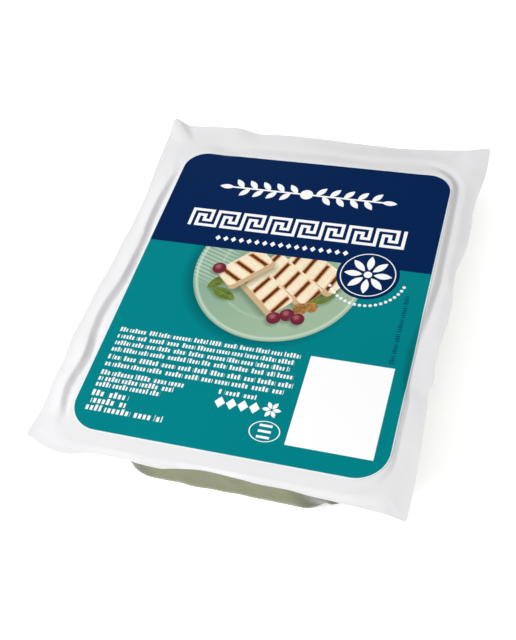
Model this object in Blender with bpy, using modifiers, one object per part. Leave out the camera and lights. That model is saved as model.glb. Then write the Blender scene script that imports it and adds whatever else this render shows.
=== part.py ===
# A sealed pack of halloumi, lying flat with its label up.
# Three pieces: the filled base (the clear formed film drawn tight over the cheese and its brine,
# with the thin rim that is sealed all round), the opaque white lid film, and the label on it.
# Metres, +Z up. X runs across the label and Y up it. The origin is the middle of the flat foot.

import math

import bmesh
import bpy
from mathutils import Vector

MM = 0.001

# Heights
PACK_HEIGHT = 23.5 * MM          # foot to the face of the label
LABEL_THICKNESS = 0.3 * MM
LID_THICKNESS = 0.3 * MM
RIM_THICKNESS = 0.4 * MM         # the base's own film where it is sealed to the lid
GAP = 0.3 * MM                   # air kept between pieces that touch
LID_TOP = PACK_HEIGHT - LABEL_THICKNESS - GAP

# Label
LABEL_WIDTH = 95.5 * MM
LABEL_LENGTH = 118.9 * MM
LABEL_CENTRE_X = 1.2 * MM
LABEL_CENTRE_Y = -0.9 * MM
LABEL_TOP_RADIUS = 8.1 * MM
LABEL_BOTTOM_RADIUS = 10.0 * MM
LABEL_ARC_STEPS = 8

# Lid plan: a core rectangle, and spokes that run out from it to the cut edge of the film
CORE_X = 39.0 * MM
CORE_Y = 51.7 * MM
PLATEAU = 8.0 * MM               # innermost ring, out from the core
SHOULDER = 9.8 * MM              # where the flat middle ends
FRONT_SHOULDER = 9.0 * MM
CORNER_SPOKES = 4                # on each side of a corner
SHORT_SIDE_SPOKES = 14
LONG_SIDE_SPOKES = 18
RING_SHARES = (0.12, 0.23, 0.34, 0.46, 0.60, 0.80, 1.0)   # of the way from shoulder to edge
SEAL_RING = 5                    # ring at which the base leaves the lid, at share 0.46

# Lid relief beyond the shoulder
STEP_END = 0.42                  # share at which the film has come down to the seal
CREASE_AT = 0.34                 # share of the crease's bottom
CREASE_WIDTH = 0.17
SIDE_DROP = 1.5 * MM             # from the flat middle down to the seal
FRONT_DROP = 0.5 * MM
BACK_DROP = 1.0 * MM

# Crests and troughs of the cut edge from corner to corner, in millimetres: place along the edge,
# reach out from the origin, and rise above the flat middle. The corners of neighbours agree.
FRONT_EDGE = ((-54.8, 66.2, 1.3), (-46.1, 67.4, -3.1), (-35.7, 66.7, -1.4), (-15, 66.6, -1.3),
              (3.8, 66, 0.7), (18.8, 66.3, -0.1), (42.3, 66.7, -1.3), (55.7, 67.5, -2.4))
RIGHT_EDGE = ((-67.5, 55.7, -2.4), (-45.1, 55.3, -2), (-16, 54.4, -2.9), (2.8, 55.8, -1.3),
              (15, 54.9, -2.6), (33.8, 56.9, -1.2), (41.4, 56.6, -1.9), (62, 58.5, -0.7), (72.7, 58.2, 1))
BACK_EDGE = ((-57.2, 73.2, 1.9), (-50.8, 72.8, -1), (-32.9, 72.8, 0.6), (-23.5, 72.8, -1.8),
             (-12.2, 72.8, -1.3), (25.4, 72.8, -2.8), (48.9, 72.8, -0.7), (58.2, 72.7, 1))
LEFT_EDGE = ((-66.2, 54.8, 1.3), (-60.2, 56.9, -2.5), (-53.6, 57.1, -3.4), (-40.4, 57.1, -1.9),
             (-23.5, 57.1, -0.8), (-16, 57.1, -2.3), (-9.4, 57.1, -1.6), (4.7, 57.1, -3.4),
             (11.3, 57.1, -2.6), (33.8, 57.1, -3.9), (46.1, 57.1, -1.8), (61.1, 57.1, -0.7), (73.2, 57.2, 1.9))

# The crease beside the label, in millimetres: place along the side, depth, and how far it strays out
LEFT_CREASE = ((-58.3, 0, 0), (-46.1, 0.7, 1.1), (-32.9, 0.6, -0.8), (-19.7, 0.8, 1.6), (-3.8, 0.6, -0.9),
               (26.3, 0.7, 0), (43.2, 0.4, -1.6), (56.4, 0, -1.6))
RIGHT_CREASE = ((-56.4, 0, 0), (-37.6, 0.4, 0), (-20.7, 0.1, 0), (9.4, 0.6, 0), (51.7, 0.7, 0),
                (62, 0.2, 0))

# The pocket: a tent of film that falls from the seal to the upright walls of the cheese block
BLOCK_HALF_X = 31.8 * MM
BLOCK_HALF_Y = 61.1 * MM
BLOCK_LEFT_CORNER = 9.5 * MM
BLOCK_RIGHT_CORNER = 6.0 * MM    # the block sits squarer there
TENT_TOP = 20.1 * MM
TENT_X = 19.0 * MM               # how far the tent stands out from the block at its top
TENT_Y = 2.4 * MM
TENT_CORNER = 2.5 * MM           # what the corner radius gains there
TENT_FALL_X = 3.9 * MM           # depth over which the tent falls to a third of that
TENT_FALL_Y = 7.0 * MM
TENT_DEPTHS = (0.8 * MM, 2.1 * MM, 3.9 * MM, 6.8 * MM, 10.8 * MM)
FOOT_ROUND = 3.8 * MM
FOOT_ROUND_STEPS = 3

FILM_WHITE = (0.86, 0.86, 0.87, 1.0)
LABEL_TEAL = (0.005, 0.23, 0.26, 1.0)
BASE_OLIVE = (0.33, 0.35, 0.22, 1.0)


def ease(t):
    """0 below t = 0, 1 above t = 1, and a smooth S between them."""
    t = min(max(t, 0.0), 1.0)
    return t * t * (3.0 - 2.0 * t)


def eased_between(stations, along):
    """The two lengths that a list of (place, value, value) gives at one place, easing from each
    crest or trough to the next."""
    place = along / MM
    if place <= stations[0][0]:
        return stations[0][1] * MM, stations[0][2] * MM
    for start, end in zip(stations, stations[1:]):
        if place <= end[0]:
            share = ease((place - start[0]) / (end[0] - start[0]))
            return tuple((a + (b - a) * share) * MM for a, b in zip(start[1:], end[1:]))
    return stations[-1][1] * MM, stations[-1][2] * MM


class Spoke:
    """A line in plan from the core rectangle out to a point of the cut edge."""

    def __init__(self, edge_point, rise):
        self.foot = Vector((min(max(edge_point.x, -CORE_X), CORE_X),
                            min(max(edge_point.y, -CORE_Y), CORE_Y)))
        self.direction = (edge_point - self.foot).normalized()
        self.length = (edge_point - self.foot).length
        self.rise = rise
        sideways, endways = self.direction.x ** 2, self.direction.y ** 2
        faces_front = self.direction.y < 0.0
        self.drop = sideways * SIDE_DROP + endways * (FRONT_DROP if faces_front else BACK_DROP)
        self.shoulder = SHOULDER
        if faces_front:
            self.shoulder += endways * (FRONT_SHOULDER - SHOULDER)
        crease = LEFT_CREASE if self.direction.x < 0.0 else RIGHT_CREASE
        depth, stray = eased_between(crease, edge_point.y)
        self.crease_depth = sideways * depth
        self.crease_stray = sideways * stray

    def middle_point(self, out):
        """Point of the lid's flat middle, a distance out from the core."""
        place = self.foot + self.direction * out
        return Vector((place.x, place.y, LID_TOP))

    def lid_point(self, share):
        """Point of the lid's upper face, a share of the way from the shoulder to the edge."""
        stray = min(share / CREASE_AT, (1.0 - share) / (1.0 - CREASE_AT))
        out = self.shoulder + share * (self.length - self.shoulder) + stray * self.crease_stray
        level = -self.drop * ease(share / STEP_END)
        level += (self.rise + self.drop) * ease((share - STEP_END) / (1.0 - STEP_END))
        level -= self.crease_depth * math.exp(-((share - CREASE_AT) / CREASE_WIDTH) ** 2)
        place = self.foot + self.direction * out
        return Vector((place.x, place.y, LID_TOP + level))

    def pocket_point(self, spread_x, spread_y, corner_gain, height):
        """Point of the pocket's wall, which stands out from the block by a spread on each side."""
        corner = corner_gain + (BLOCK_LEFT_CORNER if self.foot.x < 0.0 else BLOCK_RIGHT_CORNER)
        straight_x = BLOCK_HALF_X + spread_x - corner
        straight_y = BLOCK_HALF_Y + spread_y - corner
        return Vector((self.foot.x / CORE_X * straight_x + self.direction.x * corner,
                       self.foot.y / CORE_Y * straight_y + self.direction.y * corner,
                       height))


def places_along(stations, core_half, middle_steps):
    """Places of the spokes along one edge, from its first corner to just short of its last."""
    marks = (stations[0][0] * MM, -core_half, core_half, stations[-1][0] * MM)
    places = []
    for start, end, steps in zip(marks, marks[1:], (CORNER_SPOKES, middle_steps, CORNER_SPOKES)):
        places += [start + (end - start) * i / steps for i in range(steps)]
    return places


def mirrored(stations):
    """The same edge walked the other way."""
    return tuple((-place, reach, rise) for place, reach, rise in reversed(stations))


def film_spokes():
    """Spokes to the whole cut edge, anticlockwise from the near left corner."""
    sides = ((FRONT_EDGE, CORE_X, SHORT_SIDE_SPOKES, Vector((1, 0)), Vector((0, -1))),
             (RIGHT_EDGE, CORE_Y, LONG_SIDE_SPOKES, Vector((0, 1)), Vector((1, 0))),
             (mirrored(BACK_EDGE), CORE_X, SHORT_SIDE_SPOKES, Vector((-1, 0)), Vector((0, 1))),
             (mirrored(LEFT_EDGE), CORE_Y, LONG_SIDE_SPOKES, Vector((0, -1)), Vector((-1, 0))))
    spokes = []
    for stations, core_half, steps, along, outward in sides:
        for place in places_along(stations, core_half, steps):
            reach, rise = eased_between(stations, place)
            spokes.append(Spoke(along * place + outward * reach, rise))
    return spokes


def loft(sections, close_last):
    """Rings of points joined by bands of quads, with the first ring capped, and the last if told."""
    mesh = bmesh.new()
    rings = [[mesh.verts.new(point) for point in section] for section in sections]
    mesh.faces.new(rings[0])
    for inner, outer in zip(rings, rings[1:]):
        for i, j in zip(range(len(inner)), list(range(1, len(inner))) + [0]):
            mesh.faces.new((inner[i], outer[i], outer[j], inner[j]))
    if close_last:
        mesh.faces.new(reversed(rings[-1]))
    mesh.normal_update()
    return mesh, rings


def lid_sections(spokes):
    """Rings of the lid's upper face, from its flat middle to the cut edge."""
    sections = [[spoke.middle_point(PLATEAU) for spoke in spokes],
                [spoke.middle_point(spoke.shoulder) for spoke in spokes]]
    sections += [[spoke.lid_point(share) for spoke in spokes] for share in RING_SHARES]
    return sections


def sunk_sections(spokes, depth):
    """The lid's rings moved down along the lid's own normals."""
    surface, rings = loft(lid_sections(spokes), close_last=False)
    sections = [[vertex.co - vertex.normal * depth for vertex in ring] for ring in rings]
    surface.free()
    return sections


def pocket_sections(spokes):
    """Rings of the pocket from under the seal down to the flat foot."""
    levels = []
    for depth in TENT_DEPTHS:
        spread_x, spread_y = math.exp(-depth / TENT_FALL_X), math.exp(-depth / TENT_FALL_Y)
        levels.append((TENT_X * spread_x, TENT_Y * spread_y, TENT_CORNER * spread_x, TENT_TOP - depth))
    for step in range(FOOT_ROUND_STEPS + 1):
        angle = math.pi / 2 * step / FOOT_ROUND_STEPS
        inset = FOOT_ROUND * (1.0 - math.cos(angle))
        levels.append((-inset, -inset, -inset, FOOT_ROUND * (1.0 - math.sin(angle))))
    return [[spoke.pocket_point(*level) for spoke in spokes] for level in levels]


def plain_material(name, colour, roughness):
    material = bpy.data.materials.new(name)
    material.use_nodes = True
    shader = material.node_tree.nodes["Principled BSDF"]
    shader.inputs["Base Color"].default_value = colour
    shader.inputs["Roughness"].default_value = roughness
    shader.inputs["Metallic"].default_value = 0.0
    return material


def add_piece(name, data, material, collection):
    piece = bpy.data.objects.new(name, data)
    collection.objects.link(piece)
    data.materials.append(material)
    return piece


def mesh_data(name, mesh):
    data = bpy.data.meshes.new(name)
    mesh.to_mesh(data)
    mesh.free()
    data.shade_smooth()
    return data


def build_lid(spokes, collection):
    """White lid film: one waved sheet, thickened downwards."""
    mesh, _ = loft(lid_sections(spokes), close_last=False)
    lid = add_piece("lid_film", mesh_data("lid_film", mesh),
                    plain_material("lid_white", FILM_WHITE, 0.45), collection)
    thickness = lid.modifiers.new("film_thickness", "SOLIDIFY")
    thickness.thickness = LID_THICKNESS
    thickness.offset = -1.0
    return lid


def build_base(spokes, collection):
    """Filled base: its upper face follows the lid's underside, its rim is one film thick, and the
    pocket below is lofted from the tented film at the seal to the rounded foot."""
    upper = sunk_sections(spokes, LID_THICKNESS + GAP)
    under_rim = sunk_sections(spokes, LID_THICKNESS + GAP + RIM_THICKNESS)[SEAL_RING:]
    mesh, _ = loft(upper + under_rim[::-1] + pocket_sections(spokes), close_last=True)
    return add_piece("filled_base", mesh_data("filled_base", mesh),
                     plain_material("brine_olive", BASE_OLIVE, 0.3), collection)


def label_outline():
    """Corner arcs of the label, anticlockwise from the near right one."""
    half_x, half_y = LABEL_WIDTH / 2, LABEL_LENGTH / 2
    corners = ((1, -1, LABEL_BOTTOM_RADIUS), (1, 1, LABEL_TOP_RADIUS),
               (-1, 1, LABEL_TOP_RADIUS), (-1, -1, LABEL_BOTTOM_RADIUS))
    outline = []
    for quarter, (side_x, side_y, radius) in enumerate(corners):
        for step in range(LABEL_ARC_STEPS + 1):
            angle = math.pi / 2 * (quarter - 1 + step / LABEL_ARC_STEPS)
            outline.append((side_x * (half_x - radius) + radius * math.cos(angle),
                            side_y * (half_y - radius) + radius * math.sin(angle)))
    return outline


def build_label(collection):
    """Flat label with rounded corners."""
    data = bpy.data.curves.new("label", "CURVE")
    data.dimensions = "2D"
    data.fill_mode = "BOTH"
    data.extrude = LABEL_THICKNESS / 2
    outline = label_outline()
    spline = data.splines.new("POLY")
    spline.points.add(len(outline) - 1)
    for point, (x, y) in zip(spline.points, outline):
        point.co = (x, y, 0.0, 1.0)
    spline.use_cyclic_u = True
    label = add_piece("label", data, plain_material("label_teal", LABEL_TEAL, 0.3), collection)
    label.location = (LABEL_CENTRE_X, LABEL_CENTRE_Y, PACK_HEIGHT - LABEL_THICKNESS / 2)
    return label


def main():
    for old in list(bpy.data.objects):
        bpy.data.objects.remove(old, do_unlink=True)
    pack = bpy.data.collections.new("halloumi_pack")
    bpy.context.scene.collection.children.link(pack)
    spokes = film_spokes()
    build_base(spokes, pack)
    build_lid(spokes, pack)
    build_label(pack)


main()
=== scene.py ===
import bpy
import numpy as np
from mathutils import Matrix, Vector


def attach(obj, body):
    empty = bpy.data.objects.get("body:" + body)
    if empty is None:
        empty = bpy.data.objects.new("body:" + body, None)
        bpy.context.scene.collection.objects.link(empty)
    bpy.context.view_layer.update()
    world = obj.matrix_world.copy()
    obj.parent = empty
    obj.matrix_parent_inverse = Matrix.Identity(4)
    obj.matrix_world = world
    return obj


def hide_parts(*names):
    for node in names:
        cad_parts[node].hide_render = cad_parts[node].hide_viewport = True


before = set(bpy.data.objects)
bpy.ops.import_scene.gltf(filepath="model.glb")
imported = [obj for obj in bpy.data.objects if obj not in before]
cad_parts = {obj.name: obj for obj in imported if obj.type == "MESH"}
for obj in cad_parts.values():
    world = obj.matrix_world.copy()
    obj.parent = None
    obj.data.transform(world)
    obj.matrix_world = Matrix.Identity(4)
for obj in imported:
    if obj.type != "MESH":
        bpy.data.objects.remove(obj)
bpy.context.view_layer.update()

mm = 0.001


def hue(red, green, blue):
    # Screen values of 0 to 255 as the linear colour that a shader takes
    values = np.array((red, green, blue)) / 255
    linear = np.where(values < 0.04045, values / 12.92, ((values + 0.055) / 1.055) ** 2.4)
    return tuple(float(value) for value in linear)


# Lengths in the tables are millimetres, and become metres where a mesh is made.
pack = {
    "lidTop": 23.3,             # upper face of the lid's flat middle
    "coreX": 39.0,              # half sides of the rectangle that the spokes start from
    "coreY": 51.7,
    "cornerSpokes": 24,         # on each side of a corner
    "shortSideSpokes": 110,
    "longSideSpokes": 150,
    "tipX": 53.0,               # an end of a spoke past both of these is part of a rounded tip
    "tipY": 64.0,
}

# Cut edge from corner to corner: place along it, reach from the origin, rise above the flat middle
edges = {
    "front": ((-56.5, 64.8, -1), (-50.5, 67, -0.8), (-45.7, 68.2, -0.7), (-41.7, 68.4, -0.7),
              (-38.3, 67.6, -0.6), (-34.5, 66.8, -0.6), (-23.8, 66.5, -0.6), (-19.6, 67.1, -0.6),
              (-13.7, 67.3, -0.6), (-8.4, 66.3, -0.6), (-0.2, 65.4, -0.6), (10.5, 65.9, -0.6),
              (16.1, 66.3, -0.6), (22.5, 66.2, -0.6), (29.6, 66.7, -0.7), (38, 67, -0.8),
              (45.3, 67.3, -1), (50.5, 67.7, -1), (56, 68.5, -1.1)),
    "right": ((-68.5, 56, -1.1), (-55.9, 56.1, -0.8), (-43.3, 55.6, -0.7), (-33.4, 55.2, -0.9),
              (-28.6, 54.6, -1.2), (-27.1, 54.6, -1.2), (-25.8, 55.4, -1.2), (-22.9, 55.3, -1.2),
              (-17.6, 55, -1.2), (-12.1, 55.1, -1.1), (-6.4, 55.6, -1), (-0.6, 56.1, -1),
              (5.3, 56.1, -1.1), (11.2, 55.4, -1.3), (17.5, 55.2, -1.6), (24.1, 56.2, -1.8),
              (30.9, 57, -1.9), (37.5, 57.1, -2), (44.2, 56.7, -2), (51.2, 56.9, -2),
              (58.5, 57.9, -1.8), (65.8, 58.5, -1.3), (73.9, 58.4, -0.1)),
    "back": ((-58.1, 75.1, 0), (-50.8, 73, -1.1), (-32.9, 73.6, -0.7), (-23.5, 72.5, -1.6),
             (-12.2, 72.8, -1.4), (25.4, 72.1, -2), (48.9, 73, -1.2), (58.4, 73.9, -0.1)),
    "left": ((-64.8, 56.5, -1), (-60.6, 56.3, -1.2), (-55, 55.8, -1.4), (-49.7, 56.1, -1.4),
             (-44, 56.5, -1.3), (-38.5, 56.3, -1.4), (-32.7, 56.7, -1.3), (-26.9, 57.2, -1.2),
             (-20.6, 57, -1.3), (-14.3, 56.9, -1.4), (-8, 56.9, -1.4), (-1.3, 56.4, -1.5),
             (5.5, 56.1, -1.5), (12.3, 56.1, -1.5), (19.5, 55.7, -1.6), (26.7, 55.7, -1.6),
             (34.1, 55.8, -1.6), (41.6, 56.2, -1.5), (49.3, 56.8, -1.3), (57.2, 57.3, -1.2),
             (65.5, 57.5, -1), (75.1, 58.1, 0)),
}

# Fall of the lid round its flat middle: place along the side, where the fall starts and where its
# crease lies (both out from the core), how deep the crease is, and how far the film rises past it
falls = {
    "front": ((-55, 8.6, 12, 0.1, 0), (-40, 8.8, 12.5, 0.15, 0), (40, 8.8, 12.5, 0.2, 0),
              (50, 9.4, 11.5, 0.5, 0.05)),
    "right": ((-62, 9.4, 11.2, 0.35, 0), (-52, 9.4, 11.2, 0.6, 0), (-42, 9.4, 11.2, 0.6, 0),
              (-33, 9.2, 11.2, 0.75, 0), (-26, 7.5, 10.2, 1.2, 0), (-18, 7, 10, 1.4, 0),
              (-12, 7.2, 10.2, 1.3, 0.05), (-4, 8.6, 11.2, 1.15, 0.15), (1, 9.6, 11.7, 1.15, 0.2),
              (7.6, 9.9, 12.3, 1.35, 0.25), (12.2, 10.1, 12.6, 1.4, 0.28),
              (22.3, 10, 12.4, 1.4, 0.28), (34.7, 9.9, 12.3, 1.5, 0.28), (47, 9.7, 12, 1.6, 0.28),
              (56, 9.6, 11.8, 1.65, 0.28), (62, 9.4, 11.8, 1.4, 0.22)),
    "back": ((-50, 8.6, 12.5, 0.5, 0), (-40, 6.6, 13, 0.9, 0), (-32, 4.6, 11.5, 1.2, 0.1),
             (-24, 6.8, 13, 1, 0), (0, 7.2, 13, 0.9, 0), (18, 6.4, 12, 1, 0.1),
             (27, 5.4, 12.6, 0.9, 0.1), (36.7, 4.8, 12.9, 1.1, 0.2), (43, 8.4, 12.2, 1.2, 0.3),
             (50, 9.3, 12, 1.4, 0.3)),
    "left": ((-60, 8, 10.5, 0.12, 0.05), (-56, 7.5, 8.6, 0.4, 0.6), (-52.5, 7.4, 9.3, 0.7, 1.1),
             (-46.4, 7.5, 10.4, 1.1, 1.5), (-42.7, 7.5, 10.1, 1.4, 2), (-38.8, 7.4, 9.3, 1.4, 2.2),
             (-35.4, 7.3, 9, 1.4, 2.4), (-30.8, 7.3, 9.4, 1.3, 2.1), (-25.7, 7.4, 10.4, 1.3, 1.6),
             (-19.2, 7.5, 10.8, 1.3, 1.8), (-13.4, 7.5, 10.4, 1.4, 2), (-7.7, 7.4, 9.2, 1.4, 2.2),
             (-2.6, 7.2, 8.3, 1.2, 2.4), (4.3, 7.1, 8, 0.9, 2.1), (10.1, 7.1, 8, 0.7, 1.7),
             (15.2, 7.1, 8.1, 0.8, 1.7), (20.4, 7.2, 8.7, 1, 1.9), (32, 7.2, 9, 1, 1.9),
             (37.6, 7.2, 8.6, 0.9, 1.8), (42.7, 7.2, 8.1, 0.6, 1.3), (48, 7.2, 8, 0.3, 0.4),
             (56, 8.2, 11, 0.3, 0)),
}


def ease(t):
    # 0 below t = 0, 1 above t = 1, and 3 t squared less 2 t cubed between
    t = np.clip(t, 0, 1)
    return t * t * (3 - 2 * t)


def easedBetween(stations, along):
    # Columns of a table at each place along an edge, by cubic pieces from station to station. The
    # slope at a station is the harmonic mean of those on its two sides, and nothing where they turn.
    table = np.array(stations, float)
    places, values = table[:, 0], table[:, 1:]
    step = np.diff(places)[:, None]
    steepness = np.diff(values, axis=0) / step
    before, after = steepness[:-1], steepness[1:]
    same = before * after > 0
    slope = np.zeros_like(values)
    slope[1:-1][same] = (2 * before * after)[same] / (before + after)[same]
    first = np.clip(np.searchsorted(places, along) - 1, 0, len(places) - 2)
    t = np.clip((along - places[first]) / step[first, 0], 0, 1)[..., None]
    columns = values[first] + (values[first + 1] - values[first]) * ease(t)
    columns = columns + step[first] * t * (1 - t) * (slope[first] * (1 - t) - slope[first + 1] * t)
    return np.moveaxis(columns, -1, 0)


def ripple(x, y, waves, seed):
    # Mean of plane waves: sin(2 pi (x cos a + y sin a) / length + phase), each with its own a and phase
    draw = np.random.default_rng(seed)
    total = np.zeros(np.shape(x))
    for length in waves:
        angle, phase = draw.uniform(0, np.pi), draw.uniform(0, 2 * np.pi)
        total += np.sin(2 * np.pi * (x * np.cos(angle) + y * np.sin(angle)) / length + phase)
    return total / len(waves)


def ringedSurface(name, rings, firstPole, lastPole):
    # Loops of points joined by bands of quads, each end closed by a fan of triangles to its pole.
    # Loops run anticlockwise seen from above, and the first one is on top.
    loops, around = rings.shape[:2]
    points = np.concatenate((rings.reshape(-1, 3), [firstPole, lastPole])) * mm
    row, column = np.meshgrid(np.arange(loops - 1) * around, np.arange(around), indexing="ij")
    beside = (column + 1) % around
    quads = np.stack((row + column, row + around + column, row + around + beside, row + beside), -1)
    spot = np.arange(around)
    nextSpot, last = (spot + 1) % around, (loops - 1) * around
    topFan = np.stack((np.full(around, loops * around), spot, nextSpot), -1)
    footFan = np.stack((last + nextSpot, last + spot, np.full(around, loops * around + 1)), -1)
    mesh = bpy.data.meshes.new(name)
    mesh.from_pydata(points.tolist(), [], quads.reshape(-1, 4).tolist() + topFan.tolist() + footFan.tolist())
    mesh.shade_smooth()
    piece = bpy.data.objects.new(name, mesh)
    bpy.context.scene.collection.objects.link(piece)
    return piece


def filmSpokes():
    # Spokes in plan, anticlockwise from the near left corner: from the nearest point of the core
    # rectangle to a point of the cut edge
    ends, rises = [], []
    for name, core, middle in (("front", pack["coreX"], pack["shortSideSpokes"]),
                               ("right", pack["coreY"], pack["longSideSpokes"]),
                               ("back", pack["coreX"], pack["shortSideSpokes"]),
                               ("left", pack["coreY"], pack["longSideSpokes"])):
        turns = (edges[name][0][0], -core, core, edges[name][-1][0])
        if name in ("back", "left"):      # walked from the last station to the first
            turns = turns[::-1]
        steps = (pack["cornerSpokes"], middle, pack["cornerSpokes"])
        places = np.concatenate([a + (b - a) * np.arange(n) / n for a, b, n in zip(turns, turns[1:], steps)])
        reach, rise = easedBetween(edges[name], places)
        ends.append({"front": np.stack((places, -reach), -1), "right": np.stack((reach, places), -1),
                     "back": np.stack((places, reach), -1), "left": np.stack((-reach, places), -1)}[name])
        rises.append(rise)
    end, rise = np.concatenate(ends), np.concatenate(rises)
    tip = ((np.abs(end[:, 0]) > pack["tipX"]) & (np.abs(end[:, 1]) > pack["tipY"]))[:, None]
    end = np.where(tip, (np.roll(end, 1, 0) + end + np.roll(end, -1, 0)) / 3, end)
    foot = np.stack((np.clip(end[:, 0], -pack["coreX"], pack["coreX"]),
                     np.clip(end[:, 1], -pack["coreY"], pack["coreY"])), -1)
    length = np.hypot(*(end - foot).T)
    return {"foot": foot, "direction": (end - foot) / length[:, None], "length": length, "rise": rise}


def fallTable(x, y):
    # The four columns of the fall tables at any place: those of the side and of the end that it
    # faces, shared out by the squares of its direction from the core rectangle
    footX, footY = np.clip(x, -pack["coreX"], pack["coreX"]), np.clip(y, -pack["coreY"], pack["coreY"])
    out = np.hypot(x - footX, y - footY)
    sideways = np.where(out > 1e-6, ((x - footX) / np.maximum(out, 1e-6)) ** 2, 1.0)
    side = np.where(x < 0, easedBetween(falls["left"], y), easedBetween(falls["right"], y))
    end = np.where(y < 0, easedBetween(falls["front"], x), easedBetween(falls["back"], x))
    return out, side * sideways + end * (1.0 - sideways)


lid = {
    "thickness": 0.14,
    "leastThickness": 0.1,      # straight down
    "middleShares": (0.45, 0.92),     # coarse rings of the flat middle, as shares of the first fine ring
    "innerOut": 4.0,            # where the fine rings start, out from the core
    "rings": 46,
    "edgeShare": 0.999,         # of a spoke, where one more ring keeps the cut edge's shading sharp
    "bankRun": 2.4,             # width of the bank past the crease
    "rippleHeight": 0.13,       # small waves of the sealed rim
    "rippleLengths": (7, 9, 12, 15, 19, 24),
    "rippleSeed": 11,
    "swellHeight": 0.04,        # slow waves of the whole lid
    "swellLengths": (37, 53, 71),
    "swellSeed": 5,
    "white": hue(234, 234, 235),
    "whiteShade": hue(229, 229, 231),
    "roughness": 0.42,
}


def trough(x, y):
    # Level of the lid's upper face without its rim: the flat middle, an eased fall to the crease,
    # and an eased rise of the bank past it
    out, (start, crease, depth, bank) = fallTable(x, y)
    level = -depth * ease((out - start) / (crease - start))
    level += bank * ease((out - crease) / lid["bankRun"])
    return level - lid["swellHeight"] * ripple(x, y, lid["swellLengths"], lid["swellSeed"])


def lidRings(spokes):
    # Upper face of the lid as a function of spoke and ring: foot + direction times out in plan, and
    # the trough's level plus an eased share of what the cut edge still lacks in height
    shares = np.append(np.linspace(0, 1, lid["rings"])[:-1], (lid["edgeShare"], 1))
    out = lid["innerOut"] + (spokes["length"] - lid["innerOut"]) * shares[:, None]
    plan = spokes["foot"] + spokes["direction"] * out[..., None]
    x, y = plan[..., 0], plan[..., 1]
    _, (start, crease, depth, bank) = fallTable(x, y)
    share = (out - crease) / (spokes["length"] - crease)
    level = trough(x, y) + (spokes["rise"] + depth - bank) * ease(share)
    level += lid["rippleHeight"] * ease(share) * ripple(x, y, lid["rippleLengths"], lid["rippleSeed"])
    middle = np.stack([plan[0] * part for part in lid["middleShares"]])
    middle = np.concatenate((middle, trough(*np.moveaxis(middle, -1, 0))[..., None]), -1)
    rings = np.concatenate((middle, np.concatenate((plan, level[..., None]), -1)))
    rings[..., 2] += pack["lidTop"]
    return rings


def sunk(rings, depth):
    # The same rings moved against their own normals, which are the cross products of the steps
    # across and along the rings
    across = np.gradient(rings, axis=0)
    along = np.roll(rings, -1, 1) - np.roll(rings, 1, 1)
    normal = np.cross(across, along)
    return rings - depth * normal / np.linalg.norm(normal, axis=-1, keepdims=True)


def makeLid(spokes):
    print("lid film")
    top = lidRings(spokes)
    under = sunk(top, lid["thickness"])
    under[..., 2] = np.minimum(under[..., 2], top[..., 2] - lid["leastThickness"])
    middleTop = (0, 0, top[0, :, 2].mean())
    return ringedSurface("lidFilm", np.concatenate((top, under[::-1])), middleTop,
                         (0, 0, middleTop[2] - lid["thickness"]))


base = {
    "gap": 0.04,                # under the lid film
    "rim": 0.1,                 # thickness of the sealed rim
    "sealShare": 0.46,          # of the way from the shoulder out, where the pocket leaves the rim
    "shoulder": 9.8,
    "blockX": 31.8,             # half sides of the block, film included
    "blockY": 61.1,
    "leftCorner": 9.5,
    "rightCorner": 8.0,
    "tentTop": 20.1,            # the tent of film stands out from the block and falls to its walls
    "tentX": 19.0,
    "tentY": 1.6,
    "tentCorner": 2.5,
    "fallX": 3.9,
    "fallY": 7.0,
    "footRound": 3.8,
    "tentRings": (0, 4, 14),    # first and last depth below the tent's top, and how many rings
    "wallRings": (4.6, 15.5, 18),
    "footRings": 9,
    "puckerHeight": 0.24,
    "puckerLengths": (6, 8, 11, 14, 19),
    "puckerSeed": 23,
    "puckerSlant": 0.4,         # how far the pucker shifts sideways with height
    "puckerUp": (0.0, 2.5),     # where it starts from the foot up, and over what height it comes in
    "puckerDown": (-20.6, 2.0),       # and from the seal down, with levels counted downwards
    "finePucker": 0.2,          # share of a finer pucker, strongest at one level
    "fineLengths": (3.1, 4.3, 5.2),
    "fineSeed": 29,
    "fineLevel": 15.0,
    "fineSpread": 5.0,
    "cornerBulge": (4.4, 3.2),  # how far the near right corner stands out above its foot, in x and in y
    # where each of these starts, and over what length it comes in
    "bulgeAlongX": (22.0, 9.0),
    "bulgeAlongY": (44.0, 8.0),
    "bulgeRiseX": (0.0, 12.0),
    "bulgeRiseY": (4.0, 14.0),
    "bulgeTurn": (34.0, 4.0),
    "bulgeTurnLoss": 0.3,       # share of the bulge in y that is lost past the turn
    "tint": hue(132, 136, 108),
    "tintShade": hue(116, 122, 90),
    "brineAndShadeTint": hue(71, 74, 59),     # darker in the corners: painted shade, with the brine that gathers there
    "brineAndShadeX": (20.0, 9.0),      # where it starts out from the middle, and over what run it deepens
    "brineAndShadeY": (46.0, 8.0),
    "filmAlpha": 0.74,          # over the block
    "brineAndShadeAlpha": 0.22,         # more than that in the corners, over the painted shade and brine
}


def comeIn(value, ramp):
    start, run = ramp
    return ease((value - start) / run)


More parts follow.
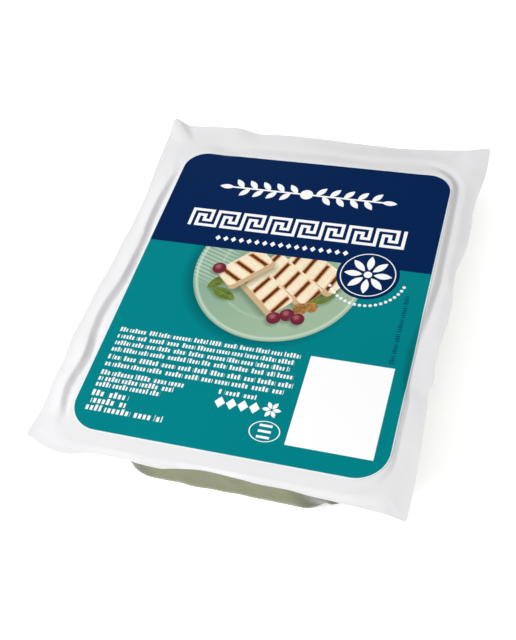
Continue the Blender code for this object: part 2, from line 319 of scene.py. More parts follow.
def pocketRing(spokes, spreadX, spreadY, cornerGain, height):
    # One level of the pocket: a rectangle with round corners that stands out from the block
    foot, direction = spokes["foot"], spokes["direction"]
    corner = cornerGain + np.where(foot[:, 0] < 0, base["leftCorner"], base["rightCorner"])
    x = foot[:, 0] / pack["coreX"] * (base["blockX"] + spreadX - corner) + direction[:, 0] * corner
    y = foot[:, 1] / pack["coreY"] * (base["blockY"] + spreadY - corner) + direction[:, 1] * corner
    # the near right corner stands out further with height, and less where it turns to the right side
    atCorner = comeIn(x - min(spreadX, 0), base["bulgeAlongX"])
    atCorner = atCorner * comeIn(-y - min(spreadY, 0), base["bulgeAlongY"])
    bulgeX, bulgeY = base["cornerBulge"]
    x = x + bulgeX * comeIn(height, base["bulgeRiseX"]) * atCorner
    kept = 1 - base["bulgeTurnLoss"] * comeIn(x, base["bulgeTurn"])
    y = y - bulgeY * comeIn(height, base["bulgeRiseY"]) * atCorner * kept
    return np.stack((x, y, np.full(len(x), height)), -1)


def pocketRings(spokes):
    # Walls from the seal to the foot: the tent's spread dies away with depth as a power of e, and
    # the foot turns in through a quarter circle
    rings = []
    for depth in np.concatenate((np.linspace(*base["tentRings"]), np.linspace(*base["wallRings"]))):
        spreadX, spreadY = np.exp(-depth / base["fallX"]), np.exp(-depth / base["fallY"])
        rings.append(pocketRing(spokes, base["tentX"] * spreadX, base["tentY"] * spreadY,
                                base["tentCorner"] * spreadX, base["tentTop"] - depth))
    for angle in np.linspace(0, np.pi / 2, base["footRings"]):
        inset = base["footRound"] * (1 - np.cos(angle))
        rings.append(pocketRing(spokes, -inset, -inset, -inset, base["footRound"] * (1 - np.sin(angle))))
    rings = np.array(rings)
    x, y, z = np.moveaxis(rings, -1, 0)
    slant = base["puckerSlant"] * z
    pucker = ripple(x + slant, y + slant, base["puckerLengths"], base["puckerSeed"])
    fine = base["finePucker"] * ripple(x, y, base["fineLengths"], base["fineSeed"])
    pucker += fine * np.exp(-((z - base["fineLevel"]) / base["fineSpread"]) ** 2)
    wall = comeIn(z, base["puckerUp"]) * comeIn(-z, base["puckerDown"])
    rings[..., :2] += spokes["direction"] * (base["puckerHeight"] * pucker * wall)[..., None]
    return rings


def makeFormedFilm(spokes):
    print("formed film")
    # A thin rim under the lid, which stops just short of its cut edge, and the pocket below it. The
    # rim's underside starts at the ring where the pocket leaves it.
    lidFace = lidRings(spokes)[:-2]
    upper = sunk(lidFace, lid["thickness"] + base["gap"])
    under = sunk(lidFace, lid["thickness"] + base["gap"] + base["rim"])
    seal = base["shoulder"] + base["sealShare"] * (spokes["length"] - base["shoulder"])
    sealPlace = ((seal - lid["innerOut"]) / (spokes["length"] - lid["innerOut"])).mean()
    sealRing = int(np.ceil(sealPlace * (lid["rings"] - 1))) + len(lid["middleShares"])
    rings = np.concatenate((upper, under[:sealRing - 1:-1], pocketRings(spokes)))
    return ringedSurface("formedFilm", rings, (0, 0, upper[0, :, 2].mean()), (0, 0, 0))


block = {
    "inset": 0.75,              # from the film's walls
    "bottom": 0.5,
    "top": 20.6,
    "round": 3.0,
    "turnRings": 8,
    "wallRings": 12,
    "hollows": 0.35,            # height of the soft waves in its sides
    "hollowLengths": (9, 13, 17, 23),
    "hollowSeed": 31,
    "cream": hue(224, 219, 190),
    "creamShade": hue(202, 199, 160),
    "creamPit": hue(184, 181, 144),
}


def makeBlock(spokes):
    # The cheese: the pocket's plan drawn in, with a quarter circle at its top and foot, and the
    # soft hollows of a block that was folded by hand
    print("cheese block")
    radius = block["round"]
    turn = [((1 - np.cos(angle)) * radius, (1 - np.sin(angle)) * radius)
            for angle in np.linspace(np.pi / 2, 0, block["turnRings"])]
    wall = np.linspace(block["top"] - radius, block["bottom"] + radius, block["wallRings"])[1:-1]
    levels = [(inset, block["top"] - drop) for inset, drop in turn]
    levels += [(0, level) for level in wall]
    levels += [(inset, block["bottom"] + lift) for inset, lift in turn[::-1]]
    rings = np.array([pocketRing(spokes, -block["inset"] - inset, -block["inset"] - inset, -inset, level)
                      for inset, level in levels])
    x, y, z = np.moveaxis(rings, -1, 0)
    hollow = block["hollows"] * ripple(x + z, y - z, block["hollowLengths"], block["hollowSeed"])
    rings[..., :2] += spokes["direction"] * hollow[..., None]
    return ringedSurface("cheeseBlock", rings, (0, 0, block["top"]), (0, 0, block["bottom"]))


label = {
    "width": 94.9,
    "length": 118.3,
    "centreX": 1.2,
    "centreY": -0.9,
    "topRadius": 8.1,
    "bottomRadius": 10.0,
    "face": 23.5,
    "thickness": 0.16,
    "margin": 0.36,             # white outside the printed field
    "cornerPoints": 25,
    "sideSteps": 70,
    "middleShares": (0.25, 0.5, 0.75, 0.9),     # coarse rings, as shares of the first inset ring
    "underShares": (0.75, 0.25),
    # inset of each fine ring, from the face over the half round edge to the underside, and how far
    # down it lies as a share of the thickness
    "profile": ((6, 0), (5, 0), (4, 0), (3.3, 0), (2.7, 0), (2.1, 0), (1.6, 0), (1.1, 0), (0.7, 0),
                (0.35, 0), (0.12, 0), (0.03, 0.15), (0, 0.35), (0, 0.65), (0.03, 0.85), (0.12, 1),
                (1.1, 1), (3, 1), (6, 1)),
}


def labelOutline(inset):
    # Rectangle with round corners, drawn in by an inset, anticlockwise from the near right corner
    loops = []
    corners = ((1, -1, label["bottomRadius"]), (1, 1, label["topRadius"]),
               (-1, 1, label["topRadius"]), (-1, -1, label["bottomRadius"]))
    for quarter, (sideX, sideY, radius) in enumerate(corners):
        angle = np.pi / 2 * (quarter - 1 + np.linspace(0, 1, label["cornerPoints"]))
        centre = (label["centreX"] + sideX * (label["width"] / 2 - radius),
                  label["centreY"] + sideY * (label["length"] / 2 - radius))
        loops.append(np.stack((centre[0] + (radius - inset) * np.cos(angle),
                               centre[1] + (radius - inset) * np.sin(angle)), -1))
    sides, shares = [], np.arange(1, label["sideSteps"]) / label["sideSteps"]
    for quarter in range(4):              # points along the straight side after each corner
        start, end = loops[quarter][-1], loops[(quarter + 1) % 4][0]
        sides.append(start + (end - start) * shares[:, None])
    return np.concatenate([part for pair in zip(loops, sides) for part in pair])


def makeLabel():
    # A thin sheet that follows the lid: its level is the lid's trough at each place, and its edge is
    # a small half round
    print("label")
    inner = labelOutline(label["profile"][0][0])
    centre = np.array((label["centreX"], label["centreY"]))
    rings = [(centre + (inner - centre) * share, 0) for share in label["middleShares"]]
    rings += [(labelOutline(inset), drop) for inset, drop in label["profile"]]
    rings += [(centre + (inner - centre) * share, 1) for share in label["underShares"]]
    plan = np.array([ring for ring, _ in rings])
    drops = np.array([drop for _, drop in rings])
    level = trough(plan[..., 0], plan[..., 1]) + label["face"] - label["thickness"] * drops[:, None]
    middle = trough(*centre)[()] + label["face"]
    return ringedSurface("packLabel", np.concatenate((plan, level[..., None]), -1),
                         (*centre, middle), (*centre, middle - label["thickness"]))


class Field:
    # One socket, wrapped so that an expression on it adds its Math nodes
    def __init__(self, paint, socket):
        self.paint, self.socket = paint, socket

    def math(self, operation, *others, clamp=False, first=None):
        terms = (self,) + others if first is None else (first, self)
        return self.paint.node("ShaderNodeMath", {"operation": operation, "use_clamp": clamp},
                               dict(enumerate(terms)))

    def __add__(self, other):
        return self.math("ADD", other)

    def __sub__(self, other):
        return self.math("SUBTRACT", other)

    def __rsub__(self, other):
        return self.math("SUBTRACT", first=other)

    def __mul__(self, other):
        return self.math("MULTIPLY", other)

    def __truediv__(self, other):
        return self.math("DIVIDE", other)

    def __abs__(self):
        return self.math("ABSOLUTE")

    def scaled(self, factor, added):
        return self.math("MULTIPLY_ADD", factor, added)

    def low(self, other):
        return self.math("MINIMUM", other)

    def high(self, other):
        return self.math("MAXIMUM", other)

    def floor(self):
        return self.math("FLOOR")

    def clamped(self):
        return self.math("ADD", 0, clamp=True)

    def fold(self, period):
        # distance to the nearest whole multiple of the period
        return self.math("PINGPONG", period / 2)

    def wrap(self, low, high):
        return self.math("WRAP", high, low)

    def inside(self, soft=0.09):
        # 1 where a gap is below nothing and 0 where it is above, with an edge of one soft width
        return self.math("MULTIPLY_ADD", -1.0 / soft, 0.5, clamp=True)


class Paint:
    # The nodes of one material, or of the world
    def __init__(self, owner, shader="Principled BSDF", **constants):
        self.owner = owner
        owner.use_nodes = True
        self.tree = owner.node_tree
        self.shader = self.tree.nodes[shader]
        for socket, value in constants.items():
            self.shader.inputs[socket.replace("_", " ")].default_value = value

    def node(self, kind, settings, values, out=0):
        # Adds a node: settings first, then a value or a link for each socket
        made = self.tree.nodes.new(kind)
        for setting, value in settings.items():
            setattr(made, setting, value)
        for socket, value in values.items():
            if isinstance(value, Field):
                self.tree.links.new(value.socket, made.inputs[socket])
            elif isinstance(value, tuple) and made.inputs[socket].type == "RGBA":
                made.inputs[socket].default_value = (*value[:3], 1)
            else:
                made.inputs[socket].default_value = value
        if isinstance(out, tuple):
            return [Field(self, made.outputs[spot]) for spot in out]
        return Field(self, made.outputs[out])

    def place(self, shift=(0, 0, 0)):
        # Object coordinates in millimetres, less a shift
        objectPlace = self.node("ShaderNodeTexCoord", {}, {}, "Object")
        return self.node("ShaderNodeVectorMath", {"operation": "MULTIPLY_ADD"},
                         {0: objectPlace, 1: (1 / mm,) * 3, 2: tuple(-part for part in shift)})

    def split(self, vector):
        return self.node("ShaderNodeSeparateXYZ", {}, {0: vector}, (0, 1, 2))

    def join(self, x, y, z):
        return self.node("ShaderNodeCombineXYZ", {}, {0: x, 1: y, 2: z})

    def noise(self, place, scale, detail=2.0, roughness=0.5):
        return self.node("ShaderNodeTexNoise", {}, {"Vector": place, "Scale": scale, "Detail": detail,
                                                    "Roughness": roughness}, 0)

    def over(self, below, above, mask):
        return self.node("ShaderNodeMix", {"data_type": "RGBA"}, {0: mask, 6: below, 7: above}, 2)

    def bump(self, height, strength, distance):
        return self.node("ShaderNodeBump", {}, {"Strength": strength, "Distance": distance * mm,
                                                "Height": height})

    def feed(self, **links):
        for socket, field in links.items():
            self.tree.links.new(field.socket, self.shader.inputs[socket.replace("_", " ")])


def span(x, y):
    return (x * x + y * y).math("SQRT")


def roundGap(x, y, centreX, centreY, radius):
    return span(x - centreX, y - centreY) - radius


def boxGap(x, y, centreX, centreY, halfX, halfY):
    return (abs(x - centreX) - halfX).high(abs(y - centreY) - halfY)


def softBoxGap(x, y, halfX, halfY, radius):
    # Box round the origin with round corners
    return span((abs(x) - (halfX - radius)).high(0), (abs(y) - (halfY - radius)).high(0)) - radius


def turned(x, y, centreX, centreY, angle):
    # Coordinates along and across a shape that is turned by an angle round its centre
    along, up = float(np.cos(np.radians(angle))), float(np.sin(np.radians(angle)))
    u = x.scaled(along, y.scaled(up, -centreX * along - centreY * up))
    v = y.scaled(along, x.scaled(-up, centreX * up - centreY * along))
    return u, v


def leafGap(u, v, halfLength, halfWidth):
    # Leaf along u: its half width falls as one less the square of u / halfLength
    return abs(v) + (u * u).scaled(halfWidth / halfLength ** 2, -halfWidth)


label["print"] = {
    "teal": hue(0, 133, 139),
    "tealCloud": hue(0, 124, 131),
    "navy": hue(3, 36, 83),
    "white": hue(253, 253, 253),
    "marginWhite": hue(236, 241, 241),
    "sideInk": hue(0, 66, 104),
    "bandBottom": 15.4,         # of the navy field
    "box": (30.4, -37.1, 12.5, 15.4),     # middle and half sides
    # left, top, pitch, width of each row, stroke height, stroke step and seed
    "strokeRows": ((-43.3, -21.4, 2.55, (58.2, 57.0, 56.2, 58.0), 1.25, 0.98, 1.3),
                   (-43.3, -32.0, 2.6, (58.6, 56.5), 1.3, 1.04, 2.9),
                   (-43.3, -38.1, 2.15, (27.0, 24.2, 20.7), 1.3, 1.08, 4.1),
                   (-43.3, -45.4, 2.55, (12.0, 12.0, 24.4), 1.55, 1.4, 6.4),
                   (-5.7, -38.0, 2.3, (11.6,), 1.2, 1.1, 7.7)),
    "sideStrokes": (-20.4, -40.6, 2.0, (26.0,), 1.1, 0.9, 9.2),
}

plate = {
    "place": (-0.2, 8.55),
    "radius": 27.7,
    "shadowAt": (1.6, 1.2, 0.2, 4.5),     # shift left and down, growth and softness
    # radius, half width and softness of the pale lines round its flat middle and along its edge
    "well": (19.2, 0.35, 0.8),
    "rim": (26.6, 0.4, 0.7),
    "streak": (0.35, 1.5, 0.3, 0.5),      # slope, step, half width and softness
    "streakEnds": (-15.5, 4.0, -7.0, 5.0),    # right end and lower end, each with its softness
    "shadow": hue(0, 86, 92),
    "green": hue(133, 168, 145),
    "greenFar": hue(160, 186, 158),
    "wellPale": hue(186, 206, 188),
    "rimPale": hue(203, 218, 203),
    "streakPale": hue(214, 226, 214),
}


def ringMask(far, radius, half, soft=0.09):
    return (abs(far - radius) - half).inside(soft)


def paintPlate(paint, px, py, colour):
    # A pale green plate with a soft shadow, pale lines round its middle and its rim, and pale
    # streaks on its left. Places are from its middle.
    radius, far = plate["radius"], span(px, py)
    left, down, growth, soft = plate["shadowAt"]
    shadow = (span(px + left, py + down) - (radius + growth)).inside(soft)
    colour = paint.over(colour, plate["shadow"], shadow * 0.75)
    green = paint.over(plate["green"], plate["greenFar"], (px - py).scaled(0.018, 0.5).clamped())
    green = paint.over(green, plate["wellPale"], ringMask(far, *plate["well"]) * 0.5)
    green = paint.over(green, plate["rimPale"], ringMask(far, *plate["rim"]) * 0.8)
    slope, step, half, soft = plate["streak"]
    right, rightSoft, low, lowSoft = plate["streakEnds"]
    streaks = ((px * slope + py).fold(step) - half).inside(soft)
    streaks = streaks * (px - right).inside(rightSoft) * (low - py).inside(lowSoft)
    green = paint.over(green, plate["streakPale"], streaks * 0.55)
    return paint.over(colour, green, (far - radius).inside(0.2))


# Drawn food: place from the plate's middle, turn and half length of a slab or leaf, or place and
# radius of a nut or fruit
food = {
    "leaves": ((-15.2, -11.6, -22, 4.8), (-18.4, -7.2, 48, 4.2), (15.8, -8.4, 30, 5.0),
               (18.6, -4.0, 72, 4.2)),
    "slabs": ((12.2, 2.8, -33, 10.5), (4.6, -2.0, -37, 11.5), (-3.4, -6.4, -41, 11.5),
              (-11.6, 0.4, 47, 8.6)),
    "nuts": ((10.4, -13.6, 2.3), (13.6, -12.4, 2.1)),
    "fruit": ((7.0, -16.6, 2.4), (3.2, -18.4, 2.3), (10.6, -17.6, 2.2), (-19.6, -1.6, 2.3)),
    "leafWidth": 0.42,          # as a share of its length
    "slabHalf": 4.2,            # half width of a slab's face
    # of a slab's parts: shift along and across, growth along and across, corner radius, softness
    "slabUnder": (0.6, 2.8, 0.2, 0.7, 1.8, 2.2),
    "slabWall": (0.1, 1.5, 0.0, 0.3, 1.5, 0.2),
    "slabFace": (0.0, 0.0, -0.2, 0.0, 1.6, 0.2),
    "slabRough": 2.4,           # how far the grain moves an edge
    "nutRough": 0.72,
    "barStep": 5.2,             # of the bars that the grill left
    "leafShadow": hue(96, 128, 92),
    "leafDark": hue(58, 84, 28),
    "leafPale": hue(128, 146, 62),
    "leafVein": hue(160, 172, 96),
    "slabShadow": hue(92, 112, 84),
    "slabSide": hue(206, 176, 136),
    "crust": hue(252, 243, 220),
    "crustDark": hue(240, 216, 172),
    "barEdge": hue(206, 128, 48),
    "bar": hue(130, 62, 26),
    "barDark": hue(64, 34, 24),
    "nutDark": hue(104, 62, 26),
    "nutPale": hue(196, 146, 84),
    "fruitShadow": hue(104, 118, 98),
    "fruitRed": hue(112, 40, 56),
    "fruitShine": hue(176, 96, 104),
}


def paintLeaf(paint, u, v, size, colour, grain):
    width = size * food["leafWidth"]
    colour = paint.over(colour, food["leafShadow"], leafGap(u + 0.4, v + 0.9, size, width).inside(1.2) * 0.6)
    leaf = paint.over(food["leafDark"], food["leafPale"], (grain * 1.6 - 0.3).clamped())
    leaf = paint.over(leaf, food["leafVein"], (abs(v) - 0.1).inside(0.25) * 0.6)
    return paint.over(colour, leaf, leafGap(u, v, size, width).inside(0.15))


def slabMask(u, v, size, part):
    along, across, longer, wider, radius, soft = food[part]
    return softBoxGap(u + along, v + across, size + longer, food["slabHalf"] + wider, radius).inside(soft)


def paintSlab(paint, u, v, size, shift, colour, grain):
    # Its shadow, its near side, and its face with toasted bars across it
    uneven = (grain - 0.5) * food["slabRough"]
    colour = paint.over(colour, food["slabShadow"], slabMask(u, v, size, "slabUnder") * 0.6)
    colour = paint.over(colour, food["slabSide"], slabMask(u, v, size, "slabWall"))
    face = paint.over(food["crust"], food["crustDark"], (grain * 1.8 - 0.5).clamped())
    bars = (u + v * 0.22 + shift).fold(food["barStep"]) + uneven * 0.22
    ends = abs(v + 0.3) - 3.9 + uneven * 0.5
    face = paint.over(face, food["barEdge"], (bars - 0.95).high(ends).inside(0.9) * 0.85)
    toast = paint.over(food["bar"], food["barDark"], (grain * 2.2 - 0.6).clamped())
    face = paint.over(face, toast, (bars - 0.6).high(ends + 0.3).inside(0.35))
    return paint.over(colour, face, slabMask(u, v, size, "slabFace"))


def paintNut(paint, px, py, nut, colour, grain):
    shell = paint.over(food["nutDark"], food["nutPale"], (grain * 2.6 - 0.8).clamped())
    return paint.over(colour, shell, (roundGap(px, py, *nut) + (grain - 0.5) * food["nutRough"]).inside(0.25))


def paintFruit(paint, px, py, fruit, colour):
    left, low, size = fruit
    shadow = roundGap(px, py, left - 0.4, low - 1, size).inside(1.3)
    colour = paint.over(colour, food["fruitShadow"], shadow * 0.6)
    colour = paint.over(colour, food["fruitRed"], roundGap(px, py, left, low, size).inside(0.2))
    shine = roundGap(px, py, left - 0.5, low + 0.6, size * 0.35).inside(1.1)
    return paint.over(colour, food["fruitShine"], shine)


def paintFood(paint, px, py, colour, place):
    grain = paint.noise(place, 0.75, 4.0, 0.65)
    for *spot, size in food["leaves"]:
        colour = paintLeaf(paint, *turned(px, py, *spot), size, colour, grain)
    for *spot, size in food["slabs"]:
        colour = paintSlab(paint, *turned(px, py, *spot), size, spot[-1], colour, grain)
    for nut in food["nuts"]:
        colour = paintNut(paint, px, py, nut, colour, grain)
    for fruit in food["fruit"]:
        colour = paintFruit(paint, px, py, fruit, colour)
    return colour


sprig = {
    "level": 43.6,
    "stem": 0.34,               # half width
    "reach": 26.2,              # half length of the stem
    "tipLeaf": (28.4, 2.6, 1.05),     # middle, half length and half width
    "step": 4.8,                # from leaf to leaf
    "leaf": (2.45, 1.05),
    "leafLift": 1.95,
    "leafTurn": 50,
    "lastLeaf": 28.8,           # how far out the leaves go on
    "bud": 2.2,
}


def sprigGap(x, y):
    # Leafy sprig, alike on both sides of the middle: a thin stem, leaves at an even step above and
    # below it, half a step apart, and a round bud in the middle
    side, half = abs(x), sprig["step"] / 2
    middle, length, width = sprig["tipLeaf"]
    gap = (abs(y) - sprig["stem"]).high(side - sprig["reach"]).low(leafGap(side - middle, y, length, width))
    for lift, start in ((1, half), (-1, sprig["step"])):
        u, v = turned((side + start).wrap(0, sprig["step"]), y, half, sprig["leafLift"] * lift,
                      sprig["leafTurn"] * lift)
        leaf = leafGap(u, v, *sprig["leaf"])
        gap = gap.low(leaf.high(side + start - sprig["lastLeaf"]).high(start - side))
    return gap.low(span(x, y) - sprig["bud"])


def flowerGap(x, y, petals, middle, halfLength, halfWidth):
    # Leaves that stand round a centre: the bearing is folded onto one of them
    far, fold = span(x, y), y.math("ARCTAN2", x).fold(2 * np.pi / petals)
    return leafGap(far * fold.math("COSINE") - middle, far * fold.math("SINE"), halfLength, halfWidth)


key = {
    "level": 28.0,
    "unit": 1.13,               # width of its line
    "cells": 8,
    # ends of the line's bars in one cell, in units
    "bars": ((0, 0, 0, 6), (0, 6, 6, 6), (6, 2, 6, 6), (4, 2, 6, 2), (4, 2, 4, 4), (2, 4, 4, 4),
             (2, 0, 2, 4), (2, 0, 8, 0)),
}


def meanderGap(x, y):
    # Greek key of square turns: one line of one unit's width through cells of eight units
    unit, halfCells = key["unit"], 4 * key["cells"]
    across = (x / unit + halfCells).wrap(-0.5, 7.5)
    up = y / unit + 3
    gap = None
    for x0, y0, x1, y1 in key["bars"]:
        bar = boxGap(across, up, (x0 + x1) / 2, (y0 + y1) / 2, (x1 - x0) / 2 + 0.5, (y1 - y0) / 2 + 0.5)
        gap = bar if gap is None else gap.low(bar)
    return (gap * unit).high(abs(x) - (halfCells + 0.5) * unit)


lozengeRow = {
    "level": 19.7,
    "step": 2.7,
    "squeeze": 1.25,            # how much narrower than high
    "half": 1.15,               # half height of one
    "middle": -2.7,
    "reach": 22.95,             # half length of the row
}


def lozengeRowGap(x, y):
    row = lozengeRow
    gap = abs(x.fold(row["step"])) * row["squeeze"] + abs(y - row["level"]) - row["half"]
    return gap.high(abs(x - row["middle"]) - row["reach"])


roundel = {
    "place": (27.8, 12.0),
    "radius": 9.9,
    "petals": (8, 4.7, 2.9, 1.15),    # number, middle, half length and half width
    "heart": 1.3,
    "ring": (8.6, 0.16),        # radius and half width
    "beadRing": 12.4,
    "beadStep": 7.5,            # degrees
    "bead": 0.52,
    "beadArc": (-1.45, 1.25),   # bearing of the arc's middle and half its angle, in radians
}


def paintRoundel(paint, x, y, colour):
    # A navy disc with a white flower and a thin ring, and an arc of beads below it
    navy, white = label["print"]["navy"], label["print"]["white"]
    left, low = roundel["place"]
    rx, ry = x - left, y - low
    far = span(rx, ry)
    colour = paint.over(colour, navy, (far - roundel["radius"]).inside())
    flower = flowerGap(rx, ry, *roundel["petals"]).low(far - roundel["heart"])
    colour = paint.over(colour, white, flower.inside())
    colour = paint.over(colour, white, ringMask(far, *roundel["ring"]))
    ring, (middle, half) = roundel["beadRing"], roundel["beadArc"]
    bearing = ry.math("ARCTAN2", rx)
    beads = span(far - ring, bearing.fold(np.radians(roundel["beadStep"])) * ring) - roundel["bead"]
    return paint.over(colour, white, beads.high((abs(bearing - middle) - half) * ring).inside())


strokes = {
    "group": 5.2,               # mean length of a group, in steps
    "groupVaries": 0.75,
    "rowShift": 17.3,           # takes each row to another place in the pattern
    "groupGap": 0.4,            # half the space between groups, in steps
    "half": 0.3,                # half width of a stroke, in steps
    "shortShare": 0.68,
    "taller": 0.3,              # how much a tall one stands out, as a share of the height
    "unused": 2.0,              # millimetres by which a row without a width stays hidden
}


def strokeGap(paint, x, y, left, top, pitch, widths, height, step, seed):
    # Rows of small upright strokes: each row is cut into groups at the uneven steps of a one
    # dimensional Voronoi pattern, and some strokes stand taller at random
    row = ((top - y) / pitch).floor()
    level = row.scaled(-pitch, top - pitch / 2)
    width = None
    for number, value in enumerate(widths):
        part = row.math("COMPARE", number, 0.5) * (value + strokes["unused"])
        width = part if width is None else width + part
    along = x - left
    group = step * strokes["group"]
    cut = paint.node("ShaderNodeTexVoronoi", {"voronoi_dimensions": "1D", "feature": "DISTANCE_TO_EDGE"},
                     {"W": along.scaled(1 / group, row.scaled(strokes["rowShift"], seed)), "Scale": 1.0,
                      "Randomness": strokes["groupVaries"]})
    gap = (step * strokes["groupGap"] - cut * group).high(along - width + strokes["unused"]).high(0 - along)
    gap = gap.high(abs(along.wrap(0, step) - step / 2) - step * strokes["half"])
    chance = paint.node("ShaderNodeTexWhiteNoise", {"noise_dimensions": "2D"},
                        {"Vector": paint.join((along / step).floor(), row, 0.0)})
    rise = y - level
    taller = chance.math("GREATER_THAN", strokes["shortShare"]) * (height * strokes["taller"])
    return gap.high(rise - taller - height / 2).high(0 - rise - height / 2)


marks = {
    "lozengeLeft": -5.9,
    "lozengeLevel": -42.5,
    "lozengeStep": 3.5,
    "lozengeSqueeze": 0.82,     # how much lower than wide
    "lozengeHalf": 1.6,
    "lozengeRow": (1.1, 7),     # middle and half length of the row of four
    "flowerPlace": (11.4, -42.2),
    "flowerPetals": (6, 1.6, 1.25, 0.62),
    "ovalPlace": (11.3, -49.5),
    "ovalHalves": (4.4, 3.3),
    "ovalMean": 3.8,            # radius that turns a share of the oval into millimetres
    "ovalLine": 0.14,
    "barStep": 1.9,
    "barHalf": 0.38,
    "barBox": (1.9, 2.5),       # half sides of the box that holds the three bars
}


def marksGap(x, y):
    # Four lozenges and a small flower, and an oval ring with three bars below them
    middle, half = marks["lozengeRow"]
    step = marks["lozengeStep"]
    across = abs((x - marks["lozengeLeft"]).wrap(0, step) - step / 2)
    lozenges = across + abs(y - marks["lozengeLevel"]) * marks["lozengeSqueeze"] - marks["lozengeHalf"]
    lozenges = lozenges.high(abs(x - middle) - half)
    left, low = marks["flowerPlace"]
    flower = flowerGap(x - left, y - low, *marks["flowerPetals"])
    (left, low), (halfX, halfY) = marks["ovalPlace"], marks["ovalHalves"]
    ring = abs((span((x - left) / halfX, (y - low) / halfY) - 1) * marks["ovalMean"]) - marks["ovalLine"]
    boxX, boxY = marks["barBox"]
    bars = (abs((y - low).fold(marks["barStep"])) - marks["barHalf"])
    bars = bars.high(abs(x - left) - boxX).high(abs(y - low) - boxY)
    return lozenges.low(flower).low(ring).low(bars)


def marginMask(x, y):
    # 1 on the printed field and 0 on the white margin round it, with each end's own corner radius
    inset = label["margin"]
    radius = y.math("GREATER_THAN", 0) * (label["topRadius"] - label["bottomRadius"])
    radius = radius + label["bottomRadius"] - inset
    cornerX = (abs(x) - (label["width"] / 2 - inset) + radius).high(0)
    cornerY = (abs(y) - (label["length"] / 2 - inset) + radius).high(0)
    return (span(cornerX, cornerY) - radius).inside(0.12)


def paintLabel():
    look = label["print"]
    paint = Paint(bpy.data.materials.new("labelPrint"), Roughness=0.27, Specular_IOR_Level=0.035)
    place = paint.place((label["centreX"], label["centreY"], 0))
    x, y, _ = paint.split(place)
    colour = paint.over(look["teal"], look["tealCloud"], paint.noise(place, 0.02, 1.0))
    px, py = x - plate["place"][0], y - plate["place"][1]
    colour = paintPlate(paint, px, py, colour)
    colour = paintFood(paint, px, py, colour, place)
    colour = paint.over(colour, look["navy"], (look["bandBottom"] - y).inside())
    for gap in (sprigGap(x, y - sprig["level"]), meanderGap(x, y - key["level"]), lozengeRowGap(x, y)):
        colour = paint.over(colour, look["white"], gap.inside())
    colour = paintRoundel(paint, x, y, colour)
    colour = paint.over(colour, look["white"], boxGap(x, y, *look["box"]).inside())
    for row in look["strokeRows"]:
        colour = paint.over(colour, look["white"], strokeGap(paint, x, y, *row).inside(0.14))
    colour = paint.over(colour, look["white"], marksGap(x, y).inside())
    # dark strokes that run up the right side
    dark = strokeGap(paint, y, x * -1, *look["sideStrokes"])
    colour = paint.over(colour, look["sideInk"], dark.inside(0.14) * 0.85)
    colour = paint.over(look["marginWhite"], colour, marginMask(x, y))
    paint.feed(Base_Color=colour, Normal=paint.bump(paint.noise(place, 0.6), 0.08, 0.05))
    return paint.owner


def paintLid():
    paint = Paint(bpy.data.materials.new("lidWhite"), Roughness=lid["roughness"], Specular_IOR_Level=0.35)
    place = paint.place()
    colour = paint.over(lid["white"], lid["whiteShade"], paint.noise(place, 0.05, 3.0, 0.55))
    height = paint.noise(place, 0.16, 3.0) * 0.8 + paint.noise(place, 1.3) * 0.05
    paint.feed(Base_Color=colour, Normal=paint.bump(height, 0.5, 0.35))
    return paint.owner


def paintFormedFilm():
    # Clear film with a cloudy tint, darker and closer in the corners: painted shade there, with the brine
    # that gathers in them
    paint = Paint(bpy.data.materials.new("clearFilm"), Roughness=0.24, Specular_IOR_Level=0.1)
    place = paint.place()
    x, y, _ = paint.split(place)
    (fromX, runX), (fromY, runY) = base["brineAndShadeX"], base["brineAndShadeY"]
    # mask of the corners, where the film gets painted shade and the darker tint of brine
    brineAndShade = ((abs(x) - fromX) / runX).clamped() * ((abs(y) - fromY) / runY).clamped()
    colour = paint.over(base["tint"], base["tintShade"], paint.noise(place, 0.12, 4.0, 0.6))
    colour = paint.over(colour, base["brineAndShadeTint"], brineAndShade)
    height = paint.noise(place, 0.16) + paint.noise(place, 0.9) * 0.04
    paint.feed(Base_Color=colour, Alpha=brineAndShade.scaled(base["brineAndShadeAlpha"], base["filmAlpha"]),
               Normal=paint.bump(height, 0.35, 0.5))
    return paint.owner


def paintBlock():
    paint = Paint(bpy.data.materials.new("creamCheese"), Roughness=0.5)
    place = paint.place()
    colour = paint.over(block["cream"], block["creamShade"], paint.noise(place, 0.1, 4.0, 0.65))
    pits = (paint.noise(place, 0.45, 3.0) - 0.62).inside(-0.08)
    colour = paint.over(colour, block["creamPit"], pits * 0.6)
    paint.feed(Base_Color=colour, Normal=paint.bump(paint.noise(place, 0.3, 3.0), 0.3, 0.5))
    return paint.owner


spokes = filmSpokes()
lidPiece = makeLid(spokes)
filmPiece = makeFormedFilm(spokes)
blockPiece = makeBlock(spokes)
labelPiece = makeLabel()

print("materials")
for piece, material in ((lidPiece, paintLid()), (filmPiece, paintFormedFilm()), (blockPiece, paintBlock()),
                        (labelPiece, paintLabel())):
    piece.data.materials.append(material)
    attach(piece, "root")

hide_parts("lid_film")
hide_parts("filled_base")
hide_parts("label")


studio = {
    "floorHalf": 3.0,           # metres
    "floorLevel": -0.0002,      # just under the pack's foot
    "floorWhite": hue(250, 250, 250),
    "floorCloud": hue(248, 248, 248),
    "floorGlow": 0.56,          # it is lit from below, as a light table is
    "sky": (0.34, 0.45),        # strength of the far and of the near end of the white room
    "skyTurn": (0.6, 0.4),      # how the strength goes from one to the other: slope and middle
    "brightSide": (-0.6, -0.7, 0.39),
    # place, aim, size and watts of each lamp, in metres
    "lamps": {
        "keyLamp": ((-0.50, -0.50, 0.60), (0, 0, 0.02), 0.5, 6.05),
        "topLamp": ((0.1, -0.15, 1.1), (0, 0, 0.02), 0.8, 2.2),
        "rimLamp": ((-0.23, 0.56, 0.27), (0, 0.05, 0.02), 0.12, 0.25),
    },
}

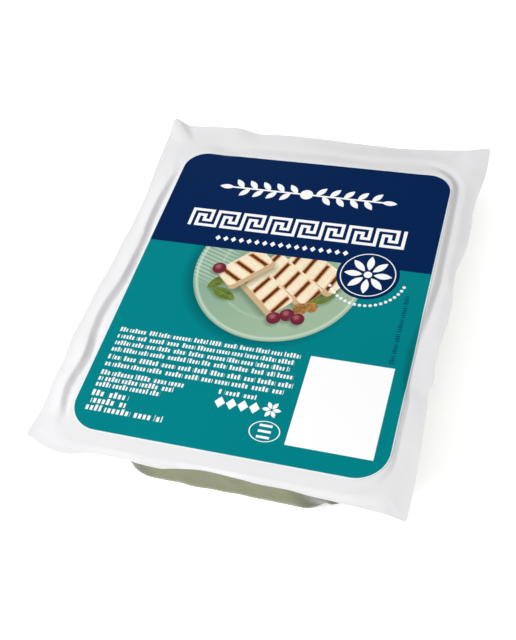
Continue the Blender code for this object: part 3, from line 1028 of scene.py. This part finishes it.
print("floor, light and camera")
half, level = studio["floorHalf"], studio["floorLevel"]
floorMesh = bpy.data.meshes.new("floor")
floorMesh.from_pydata([(-half, -half, level), (half, -half, level), (half, half, level),
                       (-half, half, level)], [], [(0, 1, 2, 3)])
floor = bpy.data.objects.new("floor", floorMesh)
bpy.context.scene.collection.objects.link(floor)
floorPaint = Paint(bpy.data.materials.new("paleFloor"), Roughness=0.9, Specular_IOR_Level=0.0,
                   Emission_Color=(1, 1, 1, 1), Emission_Strength=studio["floorGlow"])
floorNoise = floorPaint.noise(floorPaint.place(), 0.004)
floorPaint.feed(Base_Color=floorPaint.over(studio["floorWhite"], studio["floorCloud"], floorNoise))
floorMesh.materials.append(floorPaint.owner)

world = bpy.data.worlds.new("studio")
sky = Paint(world, "Background", Color=(1, 1, 1, 1))
facing = sky.node("ShaderNodeVectorMath", {"operation": "DOT_PRODUCT"},
                  {0: sky.node("ShaderNodeTexCoord", {}, {}, "Generated"), 1: studio["brightSide"]}, 1)
dim, bright = studio["sky"]
sky.feed(Strength=facing.scaled(*studio["skyTurn"]).high(0) * (bright - dim) + dim)
bpy.context.scene.world = world

for name, (place, aim, size, watts) in studio["lamps"].items():
    lamp = bpy.data.lights.new(name, "AREA")
    lamp.size, lamp.energy = size, watts
    lampObject = bpy.data.objects.new(name, lamp)
    lampObject.location = place
    lampObject.rotation_euler = (Vector(aim) - Vector(place)).to_track_quat("-Z", "Y").to_euler()
    bpy.context.scene.collection.objects.link(lampObject)

view = {
    "place": (0.078364, -0.179163, 0.250941),
    "right": (0.95312026, 0.27383319, -0.12875225),
    "up": (-0.13936933, 0.7749498, 0.61646493),
    "lens": 53.724,
    "sensor": 36.0,
}

cameraData = bpy.data.cameras.new("photoView")
cameraData.lens, cameraData.sensor_width = view["lens"], view["sensor"]
cameraData.clip_start = 0.01
camera = bpy.data.objects.new("photoView", cameraData)
right, up = Vector(view["right"]), Vector(view["up"])
turn = Matrix((right, up, right.cross(up))).transposed().to_4x4()
camera.matrix_world = Matrix.Translation(view["place"]) @ turn
bpy.context.scene.collection.objects.link(camera)
bpy.context.scene.camera = camera
bpy.context.scene.view_settings.view_transform = "Standard"
